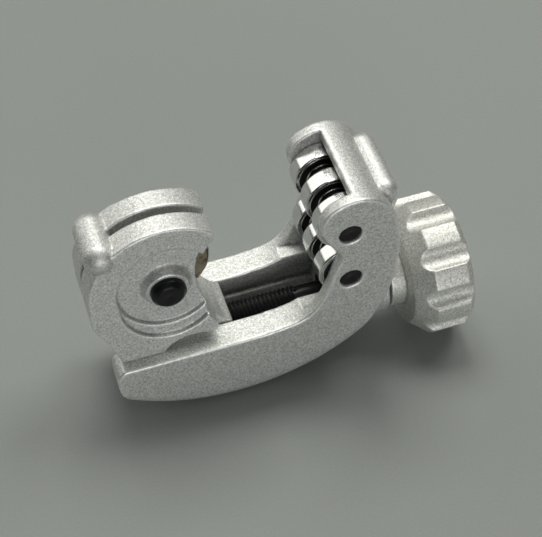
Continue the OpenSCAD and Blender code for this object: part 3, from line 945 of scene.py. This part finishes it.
class TUBECUTTER_OT_studio(bpy.types.Operator):
    """Floor, lamps and camera"""

    bl_idname = "tubecutter.studio"
    bl_label = "Studio"

    def execute(self, context):
        settings = context.scene.tube_cutter.studio
        self.add_floor(settings)
        self.add_lamps(settings)
        self.add_camera(settings)
        context.scene.view_settings.view_transform = "Standard"
        return {"FINISHED"}

    def add_floor(self, settings):
        """A plain grey floor under the tool."""
        bm = bmesh.new()
        half_side = 3
        bmesh.ops.create_grid(bm, x_segments=1, y_segments=1, size=half_side)
        mesh = bpy.data.meshes.new("floor")
        bm.to_mesh(mesh)
        bm.free()
        floor = bpy.data.objects.new("floor", mesh)
        bpy.context.scene.collection.objects.link(floor)
        material, tree, shader = new_material("Floor paper", specular=0.2)
        shader.inputs["Roughness"].default_value = 0.75
        place = tree.nodes.new("ShaderNodeTexCoord").outputs["Object"]
        mottle = stretch(tree, noise_node(tree, place, scale=1800), 0.3, 0.7)
        tree.links.new(tint(tree, mottle, scaled(settings.floor, 0.97),
                            scaled(settings.floor, 1.03)), shader.inputs["Base Color"])
        mesh.materials.append(material)

    def add_lamp(self, name, azimuth, elevation, size, power, roll=0, colour=WARM):
        """A soft panel that looks at the tool from the given angles."""
        light = bpy.data.lights.new(name, "AREA")
        light.shape = "RECTANGLE"
        light.size, light.size_y = size
        light.energy = power
        light.color = colour
        turn, rise = math.radians(azimuth), math.radians(elevation)
        away = Vector((
            math.cos(turn) * math.cos(rise), math.sin(turn) * math.cos(rise), math.sin(rise)))
        lamp = bpy.data.objects.new(name, light)
        settings = bpy.context.scene.tube_cutter.studio
        lamp.location = Vector(settings.target) + away * settings.reach
        look = (-away).to_track_quat("-Z", "Y") @ Quaternion((0, 0, 1), math.radians(roll))
        lamp.rotation_euler = look.to_euler()
        lamp.visible_camera = False
        bpy.context.scene.collection.objects.link(lamp)

    def add_lamps(self, settings):
        """Soft panels round the tool, most of them behind it, and a sky that is dark by default."""
        self.add_lamp("key_light", 84, 68, (0.52, 0.52), settings.key_power)
        self.add_lamp("side_light", 20, 60, (0.48, 0.48), settings.side_power)
        self.add_lamp("bright_panel", 134, 33, (1.3, 0.6), settings.panel_power, roll=-60)
        self.add_lamp("dim_panel", 54, 41, (1.04, 0.68), settings.dim_power, roll=48)
        self.add_lamp("front_light", 285, 70, (0.5, 0.5), settings.front_power)
        self.add_lamp("fill_light", 270, 8, (0.8, 0.52), settings.fill_power, colour=WHITE)
        world = bpy.data.worlds.new("Studio sky")
        world.use_nodes = True
        sky = world.node_tree.nodes["Background"]
        sky.inputs["Color"].default_value = (0.93, 0.96, 1.0, 1)
        sky.inputs["Strength"].default_value = settings.sky
        bpy.context.scene.world = world

    def add_camera(self, settings):
        """A camera placed as the photograph's was."""
        azimuth, elevation, roll = settings.azimuth, settings.elevation, settings.roll
        back = Vector((
            math.sin(azimuth) * math.cos(elevation), -math.cos(azimuth) * math.cos(elevation),
            math.sin(elevation)))
        right = Vector((math.cos(azimuth), math.sin(azimuth), 0))
        up = back.cross(right)
        level_right = right * math.cos(roll) + up * math.sin(roll)
        level_up = -right * math.sin(roll) + up * math.cos(roll)
        data = bpy.data.cameras.new("camera")
        data.sensor_fit = "HORIZONTAL"
        data.sensor_width = 36
        data.lens = settings.lens
        data.clip_start = 0.01
        camera = bpy.data.objects.new("camera", data)
        turn = Matrix((level_right, level_up, back)).transposed().to_4x4()
        camera.matrix_world = Matrix.Translation(
            Vector(settings.target) + back * settings.distance) @ turn
        bpy.context.scene.collection.objects.link(camera)
        bpy.context.scene.camera = camera


# Panel and registration

OPERATORS = (
    TUBECUTTER_OT_finishes, TUBECUTTER_OT_castings, TUBECUTTER_OT_feed_screw,
    TUBECUTTER_OT_cutter_wheel, TUBECUTTER_OT_pins, TUBECUTTER_OT_bearings,
    TUBECUTTER_OT_small_parts, TUBECUTTER_OT_studio)


class TUBECUTTER_PT_panel(bpy.types.Panel):
    """The tube cutter's pieces in the sidebar"""

    bl_idname = "TUBECUTTER_PT_panel"
    bl_label = "Tube Cutter"
    bl_space_type = "VIEW_3D"
    bl_region_type = "UI"
    bl_category = "Tube Cutter"

    def draw(self, context):
        settings = context.scene.tube_cutter
        for name in ("casting", "screw", "bearing", "wheel", "studio"):
            group = getattr(settings, name)
            box = self.layout.box()
            box.label(text=name.capitalize())
            for prop in group.bl_rna.properties:
                if prop.identifier not in ("rna_type", "name"):
                    box.prop(group, prop.identifier)
        for operator in OPERATORS:
            self.layout.operator(operator.bl_idname)


CLASSES = (
    CastingSettings, ScrewSettings, BearingSettings, WheelSettings, StudioSettings,
    TubeCutterSettings, *OPERATORS, TUBECUTTER_PT_panel)


def register():
    """Registers the classes and the settings."""
    for cls in CLASSES:
        bpy.utils.register_class(cls)
    bpy.types.Scene.tube_cutter = PointerProperty(type=TubeCutterSettings)


def unregister():
    """Removes the settings and the classes."""
    del bpy.types.Scene.tube_cutter
    for cls in reversed(CLASSES):
        bpy.utils.unregister_class(cls)


def main():
    """Builds every piece and the studio."""
    register()
    bpy.ops.tubecutter.finishes()
    bpy.ops.tubecutter.castings()
    bpy.ops.tubecutter.feed_screw()
    bpy.ops.tubecutter.cutter_wheel()
    bpy.ops.tubecutter.pins()
    bpy.ops.tubecutter.bearings()
    bpy.ops.tubecutter.small_parts()
    bpy.ops.tubecutter.studio()


if __name__ == "__main__":
    main()
